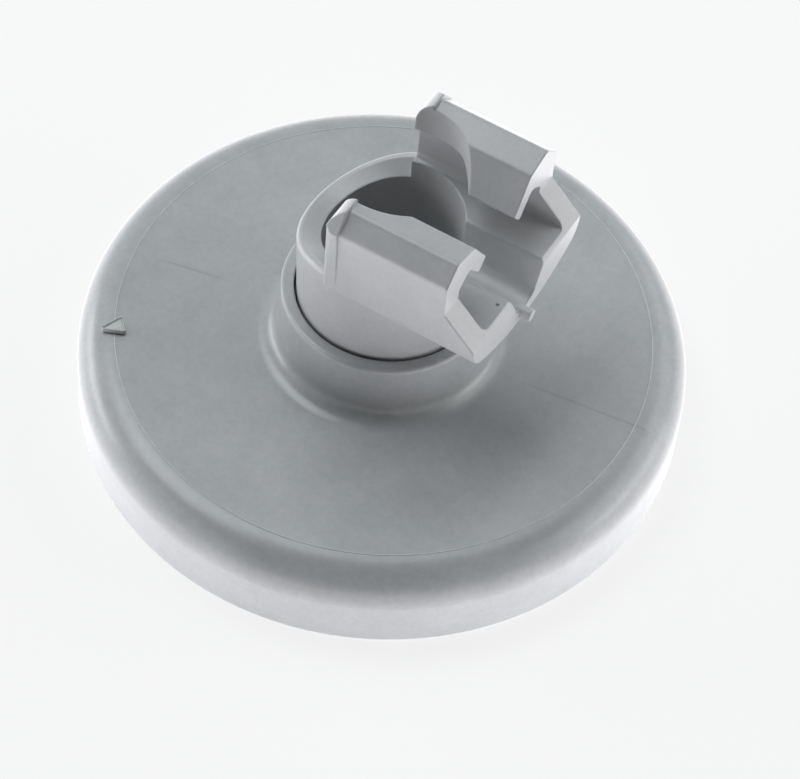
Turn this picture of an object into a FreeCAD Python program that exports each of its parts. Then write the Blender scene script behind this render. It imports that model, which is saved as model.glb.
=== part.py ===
import FreeCAD, Part
import os
import Sketcher

os.makedirs("parts", exist_ok=True)
doc = FreeCAD.newDocument("rack_roller")

# Driving dimensions in millimetres. The wheel lies flat on its rim, with its axis up along Z.
SIZES = [
    # The wheel: a shallow dish with a hub standing up in its middle.
    ("wheel_radius", 20.0),
    ("disc_top", 6.2),
    ("disc_wall", 1.8),
    ("rim_wall", 1.8),
    ("rim_round", 2.4),
    ("rim_foot_round", 0.4),
    ("boss_height", 4.6),
    ("boss_wall", 0.85),
    ("boss_draft", 0.15),
    ("boss_root_round", 1.3),
    ("boss_lip_round", 0.25),
    ("hub_wall", 1.9),
    ("hub_foot", 1.9),
    ("ledge_depth", 1.4),
    # The stem of the clip, which turns in the hub.
    ("journal_radius", 5.3),
    ("stem_wall", 0.85),
    ("collar_width", 0.58),
    ("stem_flare", 0.27),
    ("collar_gap", 0.16),
    ("running_gap", 0.08),
    ("end_gap", 0.12),
    ("barb_reach", 0.5),
    ("barb_land", 0.3),
    ("barb_length", 1.0),
    ("slot_width", 1.6),
    ("slot_height", 6.5),
    # The wire channel on top of the stem, seen along X.
    ("channel_rise", 3.9),
    ("bottom_radius", 13.0),
    ("bottom_corner_round", 2.0),
    ("pad_rise", 3.3),
    ("groove_half_width", 2.0),
    ("groove_depth", 2.0),
    ("groove_slant", 0.9),
    ("groove_radius", 1.6),
    ("tip_half_gap", 1.74),
    ("tip_rise", 2.75),
    ("tip_bevel", 0.72),
    ("tip_depth", 0.85),
    ("brow_setback", 1.61),
    ("brow_rise", 2.35),
    ("crest_width", 2.0),
    ("crest_rise", 0.5),
    ("crest_slant", 1.22),
    ("crest_drop", 1.2),
    ("pocket_setback", 2.01),
    ("pocket_rise", 0.75),
    ("arm_wall", 1.65),
    ("shoulder_drop", 0.8),
    ("crest_round", 0.45),
    ("tip_round", 0.22),
    ("pocket_round", 0.45),
    # The channel seen from the side, along Y.
    ("arm_back", 1.3),
    ("arm_back_round", 0.8),
    ("arm_top_round", 1.9),
    ("arm_length", 8.65),
    ("floor_reach", 2.25),
    ("slope_top_rise", 2.0),
    ("slope_foot_drop", 0.25),
    ("saddle_rise", 0.6),
    ("saddle_spread", 2.05),
    ("saddle_round", 0.35),
    ("bead_width", 1.1),
    ("bead_lift", 0.28),
    ("bead_foot_drop", 0.4),
    ("back_round_drop", 2.5),
    # The stub left by the moulding gate on the end of the floor.
    ("gate_radius", 0.4),
    ("gate_length", 0.7),
    ("gate_rise", 0.7),
    ("gate_offset", -0.3),
]
sheet = doc.addObject("Spreadsheet::Sheet", "Sizes")
for row, (alias, number) in enumerate(SIZES, start=1):
    sheet.set("A%d" % row, alias)
    sheet.set("B%d" % row, str(number))
    sheet.setAlias("B%d" % row, alias)
doc.recompute()


# A length holds both its formula on the sheet and its present value, so that a sketch
# is drawn near its true shape and then bound to the sheet.
class Length:
    def __init__(self, formula, value):
        self.formula = formula
        self.value = value

    def combine(self, other, sign, result):
        other = as_length(other)
        return Length("(%s %s %s)" % (self.formula, sign, other.formula), result(self.value, other.value))

    def __add__(self, other):
        return self.combine(other, "+", lambda a, b: a + b)

    def __sub__(self, other):
        return self.combine(other, "-", lambda a, b: a - b)

    def __mul__(self, other):
        return self.combine(other, "*", lambda a, b: a * b)

    def __truediv__(self, other):
        return self.combine(other, "/", lambda a, b: a / b)

    def __neg__(self):
        return Length("(0 - %s)" % self.formula, -self.value)

    def root(self):
        return Length("sqrt(%s)" % self.formula, self.value ** 0.5)


def as_length(number):
    return number if isinstance(number, Length) else Length(str(number), float(number))


def size(alias):
    return Length("Sizes." + alias, float(sheet.get(alias)))


def origin_plane(body, role):
    return next(item for item in body.Origin.OriginFeatures if item.Role == role)


def new_sketch(body, name, role, offset=None):
    sketch = body.newObject("Sketcher::SketchObject", name)
    sketch.AttachmentSupport = [(origin_plane(body, role), "")]
    sketch.MapMode = "FlatFace"
    if offset is not None:
        sketch.AttachmentOffset.Base.z = offset.value
        sketch.setExpression("AttachmentOffset.Base.z", offset.formula)
    return sketch


def bind(sketch, kind, parts, length):
    number = sketch.addConstraint(Sketcher.Constraint(kind, *parts, length.value))
    sketch.setExpression("Constraints[%d]" % number, length.formula)


# An outline is a closed chain of corners. A bend is a corner number with the radius of the
# arc that runs from that corner to the next, turning left, or right where it is negative.
def outline(sketch, corners, bends=None):
    bends = bends or {}
    corners = [(as_length(across), as_length(up)) for across, up in corners]
    count = len(corners)
    for number, (start, end) in enumerate(zip(corners, corners[1:] + corners[:1])):
        first = FreeCAD.Vector(start[0].value, start[1].value, 0)
        last = FreeCAD.Vector(end[0].value, end[1].value, 0)
        if number in bends:
            radius = bends[number]
            chord = last - first
            middle = (first + last) * 0.5
            side = FreeCAD.Vector(-chord.y, chord.x, 0).normalize()
            turn = 1 if radius.value > 0 else -1
            rise = (radius.value ** 2 - (chord.Length / 2) ** 2) ** 0.5
            crown = middle - side * turn * (abs(radius.value) - rise)
            sketch.addGeometry(Part.Arc(first, crown, last))
        else:
            sketch.addGeometry(Part.LineSegment(first, last))
    ends = {}
    for number in range(count):
        forward = number not in bends or bends[number].value > 0
        ends[number] = (1, 2) if forward else (2, 1)
    for number in range(count):
        following = (number + 1) % count
        join = (number, ends[number][1], following, ends[following][0])
        sketch.addConstraint(Sketcher.Constraint("Coincident", *join))
    for number, (across, up) in enumerate(corners):
        corner = (number, ends[number][0])
        for kind, length in (("DistanceX", across), ("DistanceY", up)):
            if length.value == 0:
                axis = -2 if kind == "DistanceX" else -1
                sketch.addConstraint(Sketcher.Constraint("PointOnObject", *corner, axis))
            else:
                bind(sketch, kind, (-1, 1) + corner, length)
    for number, radius in bends.items():
        bind(sketch, "Radius", (number,), radius if radius.value > 0 else -radius)


def circle(sketch, across, up, radius):
    centre = FreeCAD.Vector(across.value, up.value, 0)
    sketch.addGeometry(Part.Circle(centre, FreeCAD.Vector(0, 0, 1), radius.value))
    for kind, length in (("DistanceX", across), ("DistanceY", up)):
        if length.value == 0:
            axis = -2 if kind == "DistanceX" else -1
            sketch.addConstraint(Sketcher.Constraint("PointOnObject", 0, 3, axis))
        else:
            bind(sketch, kind, (-1, 1, 0, 3), length)
    bind(sketch, "Radius", (0,), radius)


def pad(body, sketch, name, length, reverse=False):
    feature = body.newObject("PartDesign::Pad", name)
    feature.Profile = sketch
    feature.Length = length.value
    feature.setExpression("Length", length.formula)
    feature.Reversed = reverse
    doc.recompute()
    return feature


def revolve(body, sketch, name):
    feature = body.newObject("PartDesign::Revolution", name)
    feature.Profile = sketch
    feature.ReferenceAxis = (sketch, ["V_Axis"])
    feature.Angle = 360
    doc.recompute()
    return feature


# A cut goes right through both ways. It must take something away.
def cut_through(body, sketch, name, midplane=True, reverse=False):
    before = body.Shape.Volume
    feature = body.newObject("PartDesign::Pocket", name)
    feature.Profile = sketch
    feature.Type = "ThroughAll"
    feature.Midplane = midplane
    feature.Reversed = reverse
    doc.recompute()
    if not feature.Shape.Volume < before - 0.01:
        raise RuntimeError("%s cuts nothing" % name)
    return feature


def round_edges(body, name, radius, wanted):
    base = body.Tip
    edges = ["Edge%d" % number for number, edge in enumerate(base.Shape.Edges, start=1) if wanted(edge)]
    feature = body.newObject("PartDesign::Fillet", name)
    feature.Base = (base, edges)
    feature.Radius = radius.value
    feature.setExpression("Radius", radius.formula)
    doc.recompute()
    return feature


NEAR = 0.01
NONE = as_length(0)
CUT_PAST = as_length(0.8)


# True for a round edge about the Z axis with the given radius and height.
def ring_at(radius, height):
    def wanted(edge):
        round_one = isinstance(edge.Curve, Part.Circle)
        if not round_one:
            return False
        return abs(edge.Curve.Radius - radius.value) < NEAR and abs(edge.Curve.Center.z - height.value) < NEAR
    return wanted


# True for an edge that lies wholly above the given height and isn't straight.
def above(height):
    def wanted(edge):
        straight = isinstance(edge.Curve, Part.Line)
        return not straight and edge.BoundBox.ZMin > height.value + NEAR
    return wanted


# True for an edge along X that passes through one of the given places, on either side.
def along_x_at(places):
    def wanted(edge):
        middle = edge.CenterOfMass
        box = edge.BoundBox
        if box.YLength > NEAR or box.ZLength > NEAR:
            return False
        return any(
            abs(abs(middle.y) - across.value) < NEAR and abs(middle.z - up.value) < NEAR
            for across, up in places
        )
    return wanted


# The wheel is one moulding: a hollow dish with a rim, and a hub that stands above the disc.
disc_top = size("disc_top")
disc_under = disc_top - size("disc_wall")
boss_top = disc_top + size("boss_height")
ledge = boss_top - size("ledge_depth")
journal_radius = size("journal_radius")
collar_radius = journal_radius + size("collar_width")
recess_radius = collar_radius + size("collar_gap")
bore_radius = journal_radius + size("running_gap")
boss_radius = recess_radius + size("boss_wall")
boss_root_radius = boss_radius + size("boss_draft")
hub_radius = bore_radius + size("hub_wall")
rim_inside = size("wheel_radius") - size("rim_wall")

wheel = doc.addObject("PartDesign::Body", "wheel")
wheel.Label = "wheel"
wheel_section = new_sketch(wheel, "wheel_section", "XZ_Plane")
outline(wheel_section, [
    (rim_inside, NONE),
    (size("wheel_radius"), NONE),
    (size("wheel_radius"), disc_top),
    (boss_root_radius, disc_top),
    (boss_radius, boss_top),
    (recess_radius, boss_top),
    (recess_radius, ledge),
    (bore_radius, ledge),
    (bore_radius, size("hub_foot")),
    (hub_radius, size("hub_foot")),
    (hub_radius, disc_under),
    (rim_inside, disc_under),
])
revolve(wheel, wheel_section, "wheel_turned")
round_edges(wheel, "rim_round_edge", size("rim_round"), ring_at(size("wheel_radius"), disc_top))
round_edges(wheel, "boss_root", size("boss_root_round"), ring_at(boss_root_radius, disc_top))
round_edges(wheel, "boss_lip", size("boss_lip_round"), ring_at(boss_radius, boss_top))
round_edges(wheel, "rim_foot", size("rim_foot_round"), ring_at(size("wheel_radius"), NONE))

# The clip is one moulding: a hollow stem with a wire channel across its top.
# The stem has a collar above the hub's ledge, a journal in its bore and snap barbs below it.
collar_foot = ledge + size("end_gap")
barb_top = size("hub_foot") - size("end_gap")
barb_radius = journal_radius + size("barb_reach")
stem_head_radius = collar_radius + size("stem_flare")
barb_foot = barb_top - size("barb_length")
channel_bottom = boss_top + size("channel_rise")
pad_height = channel_bottom + size("pad_rise")
stem_top = pad_height + size("slope_top_rise")

clip = doc.addObject("PartDesign::Body", "rack_clip")
clip.Label = "rack_clip"
stem_section = new_sketch(clip, "stem_section", "XZ_Plane")
outline(stem_section, [
    (NONE, barb_foot),
    (journal_radius - size("barb_land"), barb_foot),
    (barb_radius, barb_top - size("barb_land")),
    (barb_radius, barb_top),
    (journal_radius, barb_top),
    (journal_radius, collar_foot),
    (collar_radius, collar_foot),
    (collar_radius, boss_top),
    (stem_head_radius, stem_top),
    (NONE, stem_top),
])
revolve(clip, stem_section, "stem")

# The open top of the stem is cut as a saddle along X.
saddle_radius = stem_head_radius + size("saddle_spread")
saddle_half_width = stem_head_radius + CUT_PAST
saddle_fall = (saddle_radius * saddle_radius - saddle_half_width * saddle_half_width).root()
saddle_bottom = channel_bottom + size("saddle_rise")
saddle_edge = saddle_bottom + saddle_radius - saddle_fall
saddle_section = new_sketch(clip, "saddle_section", "YZ_Plane")
outline(saddle_section, [
    (saddle_half_width, saddle_edge),
    (saddle_half_width, stem_top + CUT_PAST),
    (-saddle_half_width, stem_top + CUT_PAST),
    (-saddle_half_width, saddle_edge),
], {3: saddle_radius})
cut_through(clip, saddle_section, "saddle")
round_edges(clip, "saddle_edge", size("saddle_round"), above(boss_top))

# The channel's floor and its two hooked arms are one section that runs along X.
tip_across = size("tip_half_gap")
tip_height = pad_height + size("tip_rise")
brow = (tip_across + size("brow_setback"), tip_height + size("brow_rise"))
crest = (brow[0] + size("crest_width"), brow[1] + size("crest_rise"))
half_width = crest[0] + size("crest_slant")
crest_foot = (half_width, crest[1] - size("crest_drop"))
tip_top = (tip_across, tip_height)
tip_under = (tip_across + size("tip_bevel"), tip_height - size("tip_depth"))
pocket = (tip_across + size("pocket_setback"), tip_height + size("pocket_rise"))
arm_inside = half_width - size("arm_wall")
shoulder = (arm_inside, pocket[1] - size("shoulder_drop"))
pad_corner = (arm_inside, pad_height)
groove_edge = (size("groove_half_width"), pad_height)
groove_foot = (groove_edge[0] - size("groove_slant"), pad_height - size("groove_depth"))
bottom_radius = size("bottom_radius")
corner_round = size("bottom_corner_round")
bottom_centre = channel_bottom + bottom_radius
corner_reach = bottom_radius - corner_round
corner_across = half_width - corner_round
corner_drop = (corner_reach * corner_reach - corner_across * corner_across).root()
floor_end_across = corner_across * bottom_radius / corner_reach
floor_end_drop = corner_drop * bottom_radius / corner_reach
floor_end = (floor_end_across, bottom_centre - floor_end_drop)
wall_start = (half_width, bottom_centre - corner_drop)
arm_side = [
    floor_end, wall_start, crest_foot, crest, brow, tip_top, tip_under,
    pocket, shoulder, pad_corner, groove_edge, groove_foot,
]
far_side = [(-across, up) for across, up in reversed(arm_side)]
section = arm_side + far_side
channel_bends = {
    0: corner_round,
    len(arm_side) - 1: -size("groove_radius"),
    len(section) - 2: corner_round,
    len(section) - 1: bottom_radius,
}
back_end = -size("arm_back")
arm_front = back_end + size("arm_length")
floor_front = arm_front + size("floor_reach")
channel_section = new_sketch(clip, "channel_section", "YZ_Plane", back_end)
outline(channel_section, section, channel_bends)
pad(clip, channel_section, "channel_block", floor_front - back_end)
round_edges(clip, "crest_edges", size("crest_round"), along_x_at([crest_foot, crest, brow]))
round_edges(clip, "pocket_edges", size("pocket_round"), along_x_at([pocket, shoulder, pad_corner]))
round_edges(clip, "tip_edges", size("tip_round"), along_x_at([tip_top, tip_under, groove_edge]))

# A raised bead runs over the back end of each arm.
lift = size("bead_lift")
bead_side = half_width + lift / 2
bead_foot = pad_height - size("bead_foot_drop")
for name, side in (("near_bead", -1), ("far_bead", 1)):
    bead_section = new_sketch(clip, name + "_section", "YZ_Plane", back_end)
    outline(bead_section, [
        (arm_inside * side, bead_foot),
        (half_width * side, bead_foot),
        (bead_side * side, crest_foot[1]),
        ((crest[0] + lift / 2) * side, crest[1] + lift),
        (brow[0] * side, brow[1] + lift),
        (pocket[0] * side, pocket[1]),
        (arm_inside * side, shoulder[1]),
    ])
    pad(clip, bead_section, name, size("bead_width"))

# The moulding's core leaves a round bore up through the stem, the floor and the arms.
bore_section = new_sketch(clip, "bore_section", "XY_Plane")
circle(bore_section, NONE, NONE, journal_radius - size("stem_wall"))
cut_through(clip, bore_section, "bore")

# The arms end short of the floor, with a slope between.
above_all = crest[1] + lift + CUT_PAST
slope_foot = pad_height - size("slope_foot_drop")
front_section = new_sketch(clip, "front_section", "XZ_Plane")
outline(front_section, [
    (floor_front, slope_foot),
    (floor_front + CUT_PAST, slope_foot),
    (floor_front + CUT_PAST, above_all),
    (arm_front, above_all),
    (arm_front, stem_top),
])
cut_through(clip, front_section, "front_slope")

# The back end of each arm is rounded, at its outer side and over its top.
back_round = size("arm_back_round")
back_round_foot = pad_height - size("back_round_drop")
for name, side in (("near_back", -1), ("far_back", 1)):
    side_section = new_sketch(clip, name + "_section", "XY_Plane", back_round_foot)
    outline(side_section, [
        (back_end, (bead_side - back_round) * side),
        (back_end + back_round, bead_side * side),
        (back_end + back_round, (bead_side + CUT_PAST) * side),
        (back_end - CUT_PAST, (bead_side + CUT_PAST) * side),
        (back_end - CUT_PAST, (bead_side - back_round) * side),
    ], {0: back_round * -side})
    cut_through(clip, side_section, name, midplane=False, reverse=True)
back_top = crest[1] + lift
top_round = size("arm_top_round")
back_section = new_sketch(clip, "back_section", "XZ_Plane")
outline(back_section, [
    (back_end, back_top - top_round),
    (back_end + top_round, back_top),
    (back_end + top_round, above_all),
    (back_end - CUT_PAST, above_all),
    (back_end - CUT_PAST, back_top - top_round),
], {0: -top_round})
cut_through(clip, back_section, "back_rounding")

# Two crossing slots split the foot of the stem into four snap fingers.
for name, role in (("slot_across", "XZ_Plane"), ("slot_along", "YZ_Plane")):
    half_slot = size("slot_width") / 2
    slot_section = new_sketch(clip, name + "_section", role)
    outline(slot_section, [
        (-half_slot, barb_foot - CUT_PAST),
        (half_slot, barb_foot - CUT_PAST),
        (half_slot, size("slot_height")),
        (-half_slot, size("slot_height")),
    ])
    cut_through(clip, slot_section, name)

# The moulding gate left a small stub on the end of the floor.
gate_radius = size("gate_radius")
gate_section = new_sketch(clip, "gate_section", "YZ_Plane", floor_front - gate_radius)
circle(gate_section, size("gate_offset"), channel_bottom + size("gate_rise"), gate_radius)
pad(clip, gate_section, "gate_stub", size("gate_length") + gate_radius)

for item in doc.Objects:
    if "Invalid" in item.State or "Error" in item.State:
        raise RuntimeError("%s has failed: %s" % (item.Name, item.State))
pieces = [wheel, clip]
for piece in pieces:
    shape = piece.Shape
    if shape.isNull() or not shape.isValid() or len(shape.Solids) != 1:
        raise RuntimeError("%s is not one valid solid" % piece.Label)
for piece in pieces:
    piece.Shape.exportStep("parts/%s.step" % piece.Label)
    print(piece.Label, round(piece.Shape.Volume, 2), "mm3", piece.Shape.BoundBox)
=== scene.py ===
import math

import bpy
from mathutils import Matrix, Vector


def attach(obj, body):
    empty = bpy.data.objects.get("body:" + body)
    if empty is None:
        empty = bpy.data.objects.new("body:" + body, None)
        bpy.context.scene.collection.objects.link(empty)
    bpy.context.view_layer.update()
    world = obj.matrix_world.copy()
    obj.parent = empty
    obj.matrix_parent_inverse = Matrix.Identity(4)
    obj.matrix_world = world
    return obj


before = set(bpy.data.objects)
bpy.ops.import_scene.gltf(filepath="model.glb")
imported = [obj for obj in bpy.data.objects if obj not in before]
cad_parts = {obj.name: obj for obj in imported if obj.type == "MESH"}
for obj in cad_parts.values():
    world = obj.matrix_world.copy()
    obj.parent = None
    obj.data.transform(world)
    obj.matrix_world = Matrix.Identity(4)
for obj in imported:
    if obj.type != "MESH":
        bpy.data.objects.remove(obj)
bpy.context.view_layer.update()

# The view that the part is seen from: down on the wheel from the front, turned so that
# the wire channel runs away to the right, with the camera tipped a little to one side.
VIEW_AZIMUTH = math.radians(26.98)
VIEW_ELEVATION = math.radians(53.58)
VIEW_ROLL = math.radians(5.36)
VIEW_DISTANCE = 0.2
VIEW_TARGET = Vector((0.00128, 0.00049, 0.0))
IMAGE_WIDTH = 800
FOCAL_LENGTH_PIXELS = 2996.2
SENSOR_WIDTH_MM = 36.0
NEAREST_SEEN = 0.01
FARTHEST_SEEN = 10.0

back = Vector((
    math.sin(VIEW_AZIMUTH) * math.cos(VIEW_ELEVATION),
    -math.cos(VIEW_AZIMUTH) * math.cos(VIEW_ELEVATION),
    math.sin(VIEW_ELEVATION),
))
level = Vector((math.cos(VIEW_AZIMUTH), math.sin(VIEW_AZIMUTH), 0.0))
upright = back.cross(level)
right = level * math.cos(VIEW_ROLL) + upright * math.sin(VIEW_ROLL)
up = upright * math.cos(VIEW_ROLL) - level * math.sin(VIEW_ROLL)
camera_data = bpy.data.cameras.new("photo_camera")
camera_data.sensor_width = SENSOR_WIDTH_MM
camera_data.lens = FOCAL_LENGTH_PIXELS / IMAGE_WIDTH * SENSOR_WIDTH_MM
camera_data.clip_start = NEAREST_SEEN
camera_data.clip_end = FARTHEST_SEEN
camera = bpy.data.objects.new("photo_camera", camera_data)
bpy.context.scene.collection.objects.link(camera)
turned = Matrix((right, up, back)).transposed().to_4x4()
camera.matrix_world = Matrix.Translation(VIEW_TARGET + back * VIEW_DISTANCE) @ turned
bpy.context.scene.camera = camera

# The wheel: one acetal moulding. The tool leaves a fine satin surface on it, the melt
# leaves cloudy grey flow marks, and two faint weld lines run out from the hub to the rim.
WHEEL_GREY = "#A1A4A6"
FLOW_LIGHT = "#AFB2B4"
FLOW_SIZE = 0.003
MOTTLE_SIZE = 0.0004
MOTTLE_LOW, MOTTLE_HIGH = 0.68, 1.32
SATIN_LOW, SATIN_HIGH = 0.26, 0.33
REFRACTIVE_INDEX = 1.52
GRAIN_SIZE = 0.00025
GRAIN_HEIGHT = 0.00001
GRAIN_STRENGTH = 0.06
EDGE_ROUND = 0.00018
EDGE_SAMPLES = 6
WELD_GREY = "#5A5A5C"
WELD_DEPTH = 0.28
WELD_HALF_WIDTH = 0.00016
WELD_FADE = 0.002
WELDS = ((math.radians(7.6), 0.0095, 0.0195), (math.radians(192.0), 0.0105, 0.0165))
# The pit's dark grey is painted shade, standing for the shade inside a small hollow.
PIT_SHADE_GREY = "#1E1D1C"
PIT_SHADE_DEPTH = 0.85


def linear(hex_colour):
    parts = [int(hex_colour[place:place + 2], 16) / 255 for place in (1, 3, 5)]
    return [p / 12.92 if p <= 0.04045 else ((p + 0.055) / 1.055) ** 2.4 for p in parts] + [1.0]


def add_node(material, kind, settings=None, links=None, **inputs):
    node = material.node_tree.nodes.new(kind)
    for name, value in (settings or {}).items():
        setattr(node, name, value)
    for name, value in inputs.items():
        node.inputs[name.replace("_", " ")].default_value = value
    for name, source in (links or {}).items():
        material.node_tree.links.new(source, node.inputs[name])
    return node


def ramp(material, value, start, end, low=0.0, high=1.0):
    return add_node(material, "ShaderNodeMapRange", links={"Value": value},
                    From_Min=start, From_Max=end, To_Min=low, To_Max=high).outputs[0]


def weld_line(material, place, angle, start, end):
    # A weld line is a dark hair on the skin, straight out from the middle of the wheel.
    outward = (math.cos(angle), math.sin(angle), 0.0)
    sideways = (-math.sin(angle), math.cos(angle), 0.0)
    across = add_node(material, "ShaderNodeVectorMath", {"operation": "DOT_PRODUCT"}, {0: place})
    across.inputs[1].default_value = sideways
    off = add_node(material, "ShaderNodeMath", {"operation": "ABSOLUTE"}, {0: across.outputs["Value"]})
    thin = ramp(material, off.outputs[0], WELD_HALF_WIDTH, 0.0)
    along = add_node(material, "ShaderNodeVectorMath", {"operation": "DOT_PRODUCT"}, {0: place})
    along.inputs[1].default_value = outward
    begun = ramp(material, along.outputs["Value"], start, start + WELD_FADE)
    over = ramp(material, along.outputs["Value"], end, end - WELD_FADE)
    length = add_node(material, "ShaderNodeMath", {"operation": "MULTIPLY"}, {0: begun, 1: over})
    return add_node(material, "ShaderNodeMath", {"operation": "MULTIPLY"},
                    {0: thin, 1: length.outputs[0]}).outputs[0]


def pit_shade(material, place, spot, radius):
    # A pit is a small hollow: its shade is painted in as a dark spot on the skin.
    gap = add_node(material, "ShaderNodeVectorMath", {"operation": "DISTANCE"}, {0: place})
    gap.inputs[1].default_value = spot
    return ramp(material, gap.outputs["Value"], radius, radius / 2)


def darken(material, colour, mask, hex_colour, depth):
    share = ramp(material, mask, 0.0, 1.0, 0.0, depth)
    mixed = add_node(material, "ShaderNodeMix", {"data_type": "RGBA"}, {0: share, 6: colour})
    mixed.inputs[7].default_value = linear(hex_colour)
    return mixed.outputs[2]


def moulded_acetal(name, base, light, edge_round, welds=(), pits=()):
    material = bpy.data.materials.new(name)
    material.use_nodes = True
    material.node_tree.nodes.clear()
    place = add_node(material, "ShaderNodeTexCoord").outputs["Object"]
    # Flow marks are soft clouds.
    clouds = add_node(material, "ShaderNodeTexNoise", links={"Vector": place},
                      Scale=1 / FLOW_SIZE, Detail=4.0, Roughness=0.6)
    # Dust and tiny pits make a finer mottle.
    mottle = add_node(material, "ShaderNodeTexNoise", links={"Vector": place},
                      Scale=1 / MOTTLE_SIZE, Detail=3.0, Roughness=0.65)
    both = add_node(material, "ShaderNodeMath", {"operation": "ADD"},
                    {0: clouds.outputs["Fac"], 1: mottle.outputs["Fac"]})
    shade = ramp(material, both.outputs[0], MOTTLE_LOW, MOTTLE_HIGH)
    colour = add_node(material, "ShaderNodeMix", {"data_type": "RGBA"}, {0: shade})
    colour.inputs[6].default_value = linear(base)
    colour.inputs[7].default_value = linear(light)
    skin = colour.outputs[2]
    for angle, start, end in welds:
        weld = weld_line(material, place, angle, start, end)
        skin = darken(material, skin, weld, WELD_GREY, WELD_DEPTH)
    # Each pit gets painted shade: a dark spot for the shade in the small hollow.
    for spot, radius in pits:
        skin = darken(material, skin, pit_shade(material, place, spot, radius), PIT_SHADE_GREY, PIT_SHADE_DEPTH)
    sheen = ramp(material, mottle.outputs["Fac"], 0.0, 1.0, SATIN_LOW, SATIN_HIGH)
    # Moulded edges are never quite sharp: each takes a small round of its own.
    edges = add_node(material, "ShaderNodeBevel", {"samples": EDGE_SAMPLES}, Radius=edge_round)
    # The spark-eroded tool prints a fine grain into the skin.
    grain = add_node(material, "ShaderNodeTexNoise", links={"Vector": place},
                     Scale=1 / GRAIN_SIZE, Detail=2.0)
    bump = add_node(material, "ShaderNodeBump",
                    links={"Height": grain.outputs["Fac"], "Normal": edges.outputs["Normal"]},
                    Strength=GRAIN_STRENGTH, Distance=GRAIN_HEIGHT)
    shader = add_node(material, "ShaderNodeBsdfPrincipled",
                      links={"Base Color": skin, "Roughness": sheen, "Normal": bump.outputs["Normal"]},
                      IOR=REFRACTIVE_INDEX)
    add_node(material, "ShaderNodeOutputMaterial", links={"Surface": shader.outputs["BSDF"]})
    return material


def dress(node, material):
    for slot in node.material_slots:
        slot.material = material


wheel_plastic = moulded_acetal("satin_acetal_wheel", WHEEL_GREY, FLOW_LIGHT, EDGE_ROUND, welds=WELDS)
dress(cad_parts["wheel"], wheel_plastic)

# The clip: a second acetal moulding of the same grey, a touch paler, held in the wheel by
# the snap fingers at its foot. One small pit in the floor of its channel gets painted shade, a dark
# spot.
CLIP_GREY = "#A8AAAC"
CLIP_FLOW_LIGHT = "#B2B4B6"
CLIP_PITS = (((0.00893, -0.00261, 0.018), 0.00016),)

clip_plastic = moulded_acetal("satin_acetal_clip", CLIP_GREY, CLIP_FLOW_LIGHT, EDGE_ROUND,
                              pits=CLIP_PITS)
dress(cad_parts["rack_clip"], clip_plastic)

# The raised flake: a chip of the same plastic that a knock has pushed up where the disc
# meets the rounded rim. It is hinged at its far tip and stands a little off the disc in front.
FLAKE_PLACE = Vector((-0.01456, -0.00956, 0.00632))
FLAKE_RADIUS = 0.00098
FLAKE_THICKNESS = 0.0002
FLAKE_CORNER = 0.00026
FLAKE_CORNER_STEPS = 4
FLAKE_EDGE = 0.00005
FLAKE_EDGE_STEPS = 3
FLAKE_TURN = math.radians(23.0)
FLAKE_LIFT = math.radians(-12.0)
FLAKE_LEAN = 0.22
FLAKE_ROUND = 0.00001
# The chip's paler grey is painted light, for the light its tilted face catches; the witness ring takes
# it too.
PAINTED_LIGHT_GREY = "#BFC1C1"
PAINTED_LIGHT_FLOW = "#CDCFCE"

bpy.ops.object.select_all(action="DESELECT")
bpy.ops.mesh.primitive_cylinder_add(vertices=3, radius=FLAKE_RADIUS, depth=FLAKE_THICKNESS)
flake = bpy.context.object
flake.name = "rim_flake"
# The three upright edges alone are selected, and rounded into blunt corners.
bpy.ops.object.mode_set(mode="EDIT")
bpy.ops.mesh.select_mode(type="EDGE")
bpy.ops.object.mode_set(mode="OBJECT")
for edge in flake.data.edges:
    ends = [flake.data.vertices[place].co for place in edge.vertices]
    edge.select = abs(ends[0].z - ends[1].z) > FLAKE_THICKNESS / 2
bpy.ops.object.mode_set(mode="EDIT")
bpy.ops.mesh.bevel(offset=FLAKE_CORNER, segments=FLAKE_CORNER_STEPS)
bpy.ops.object.mode_set(mode="OBJECT")
turn = Matrix.Rotation(FLAKE_TURN, 4, "Z") @ Matrix.Rotation(FLAKE_LIFT, 4, "X")
lean = Matrix.Shear("XZ", 4, (FLAKE_LEAN, 0.0))
flake.data.transform(Matrix.Translation(FLAKE_PLACE) @ turn @ lean)
soften = flake.modifiers.new("soft_edges", "BEVEL")
soften.width = FLAKE_EDGE
soften.segments = FLAKE_EDGE_STEPS
bpy.ops.object.modifier_apply(modifier=soften.name)
bpy.ops.object.shade_smooth()
# The paler plastic is painted light: light on the chip's tilted face, and a painted highlight along
# the witness ring.
painted_light_plastic = moulded_acetal("painted_light_acetal", PAINTED_LIGHT_GREY, PAINTED_LIGHT_FLOW, FLAKE_ROUND)
flake.data.materials.append(painted_light_plastic)
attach(flake, "roller")

# The witness ring: a hair-thin raised line where two blocks of the mould met, round the
# disc just inside the rounded rim.
RING_RADIUS = 0.01752
RING_THICKNESS = 0.000035
DISC_TOP = 0.0062
RING_STEPS = 360
RING_SECTION_STEPS = 8

bpy.ops.object.select_all(action="DESELECT")
bpy.ops.mesh.primitive_torus_add(major_radius=RING_RADIUS, minor_radius=RING_THICKNESS,
                                 major_segments=RING_STEPS, minor_segments=RING_SECTION_STEPS,
                                 location=(0.0, 0.0, DISC_TOP))
ring = bpy.context.object
ring.name = "witness_ring"
bpy.ops.object.transform_apply(location=True, rotation=True, scale=True)
bpy.ops.object.shade_smooth()
# The ring's pale grey is a painted highlight along the line.
ring.data.materials.append(painted_light_plastic)
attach(ring, "roller")

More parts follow.
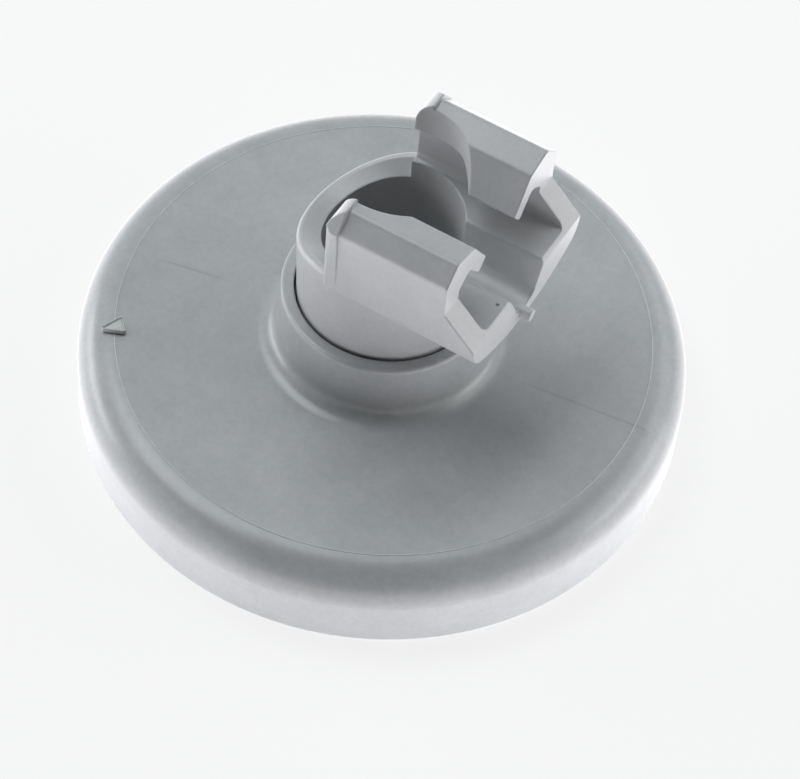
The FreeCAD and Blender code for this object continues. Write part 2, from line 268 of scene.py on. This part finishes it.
# The floor: a white sheet lit from beneath, as a light table is. It lights the sides of
# the part from below, and to the eye it is plain white with the part's soft shadow.
FLOOR_SIZE = 3.0
FLOOR_GAP = 0.00005
FLOOR_COLOUR = "#F4F4F5"
TABLE_GLOW = 2.2
TABLE_TINT = (1.0, 0.985, 1.0, 1.0)
SHADE_GLOW = 0.25
SHADE_START = 0.012
SHADE_END = 0.022
WHITE_SHARE = 0.8
WHITE = (1.0, 1.0, 1.0, 1.0)

bpy.ops.object.select_all(action="DESELECT")
bpy.ops.mesh.primitive_plane_add(size=FLOOR_SIZE, location=(0.0, 0.0, -FLOOR_GAP))
floor = bpy.context.object
floor.name = "floor"
floor_paint = bpy.data.materials.new("light_table")
floor_paint.use_nodes = True
floor_paint.node_tree.nodes.clear()
matt = add_node(floor_paint, "ShaderNodeBsdfDiffuse")
matt.inputs["Color"].default_value = linear(FLOOR_COLOUR)
white = add_node(floor_paint, "ShaderNodeEmission", Color=WHITE, Strength=1.0)
seen = add_node(floor_paint, "ShaderNodeMixShader", links={1: matt.outputs[0], 2: white.outputs[0]})
seen.inputs[0].default_value = WHITE_SHARE
eye = add_node(floor_paint, "ShaderNodeLightPath")
spot = add_node(floor_paint, "ShaderNodeTexCoord").outputs["Object"]
outward = add_node(floor_paint, "ShaderNodeVectorMath", {"operation": "LENGTH"}, {0: spot})
# The glow fades right under the part, a painted shadow of the part on the table, so that little light
# comes up through its bore.
shaded = ramp(floor_paint, outward.outputs["Value"], SHADE_START, SHADE_END, SHADE_GLOW, TABLE_GLOW)
glow = add_node(floor_paint, "ShaderNodeEmission", links={"Strength": shaded}, Color=TABLE_TINT)
blend = add_node(floor_paint, "ShaderNodeMixShader",
                 links={0: eye.outputs["Is Camera Ray"], 1: glow.outputs[0], 2: seen.outputs[0]})
# Seen from beneath, the floor is clear, so that the back of the wheel can be looked at.
side = add_node(floor_paint, "ShaderNodeNewGeometry")
clear = add_node(floor_paint, "ShaderNodeBsdfTransparent")
two_sided = add_node(floor_paint, "ShaderNodeMixShader",
                     links={0: side.outputs["Backfacing"], 1: blend.outputs[0], 2: clear.outputs[0]})
add_node(floor_paint, "ShaderNodeOutputMaterial", links={"Surface": two_sided.outputs[0]})
floor.data.materials.append(floor_paint)

# The studio: soft boxes low at the right and the left, and higher ones behind the
# part. Nothing shines from the side of the eye, and the surround is seen as plain white.
MIDDLE = Vector((0.0, 0.0, 0.008))
LAMP_DISTANCE = 0.5


def eye_rays(material):
    rays = add_node(material, "ShaderNodeLightPath")
    first = add_node(material, "ShaderNodeMath", {"operation": "MAXIMUM"},
                     {0: rays.outputs["Is Camera Ray"], 1: rays.outputs["Is Glossy Ray"]})
    both = add_node(material, "ShaderNodeMath", {"operation": "MAXIMUM"},
                    {0: first.outputs[0], 1: rays.outputs["Is Transmission Ray"]})
    return both.outputs[0]


world = bpy.data.worlds.new("studio")
bpy.context.scene.world = world
world.use_nodes = True
world.node_tree.nodes.clear()
surround = add_node(world, "ShaderNodeBackground", Color=WHITE, Strength=0.0)
plain = add_node(world, "ShaderNodeBackground", Color=WHITE, Strength=1.0)
sky = add_node(world, "ShaderNodeMixShader",
               links={0: eye_rays(world), 1: surround.outputs[0], 2: plain.outputs[0]})
add_node(world, "ShaderNodeOutputWorld", links={"Surface": sky.outputs[0]})


def soft_box(name, round_from_eye, above, width, height, power, tint=WHITE[:3]):
    way = VIEW_AZIMUTH + math.radians(round_from_eye)
    raised = math.radians(above)
    away = Vector((
        math.sin(way) * math.cos(raised),
        -math.cos(way) * math.cos(raised),
        math.sin(raised),
    ))
    lamp = bpy.data.lights.new(name, "AREA")
    lamp.shape = "RECTANGLE"
    lamp.size = width
    lamp.size_y = height
    lamp.energy = power
    lamp.color = tint
    holder = bpy.data.objects.new(name, lamp)
    bpy.context.scene.collection.objects.link(holder)
    holder.location = MIDDLE + away * LAMP_DISTANCE
    holder.rotation_euler = (-away).to_track_quat("-Z", "Y").to_euler()
    holder.visible_camera = False


# A black card stands behind the eye, as a photographer's flag, so that faces turned to
# the eye mirror something dark. The eye itself doesn't see it.
CARD_SIZE = 1.1
CARD_DISTANCE = 0.6
CARD_BLACK = "#0A0A0A"

bpy.ops.object.select_all(action="DESELECT")
bpy.ops.mesh.primitive_plane_add(size=CARD_SIZE)
card = bpy.context.object
card.name = "black_card"
card.matrix_world = Matrix.Translation(MIDDLE + back * CARD_DISTANCE) @ turned
card_paint = bpy.data.materials.new("black_card")
card_paint.use_nodes = True
card_paint.node_tree.nodes.clear()
black = add_node(card_paint, "ShaderNodeBsdfDiffuse")
black.inputs["Color"].default_value = linear(CARD_BLACK)
add_node(card_paint, "ShaderNodeOutputMaterial", links={"Surface": black.outputs[0]})
card.data.materials.append(card_paint)
card.visible_camera = False

# The seven lamps: degrees round from the eye, degrees up, the box's two sides in metres,
# the power in watts and, where it isn't white, the tint.
COOL = (0.94, 0.98, 1.0)
soft_box("low_right", 90, 10, 0.34, 0.16, 0.70)
soft_box("low_left", 252, 10, 0.34, 0.16, 0.95)
soft_box("right", 90, 35, 0.34, 0.22, 0.40)
soft_box("right_back", 135, 35, 0.34, 0.22, 0.42, COOL)
soft_box("back_left", 225, 35, 0.34, 0.22, 0.15, COOL)
soft_box("high_back", 180, 62, 0.3, 0.22, 0.28, COOL)
soft_box("high_back_left", 240, 62, 0.3, 0.22, 0.97, COOL)

bpy.context.scene.view_settings.view_transform = "Standard"
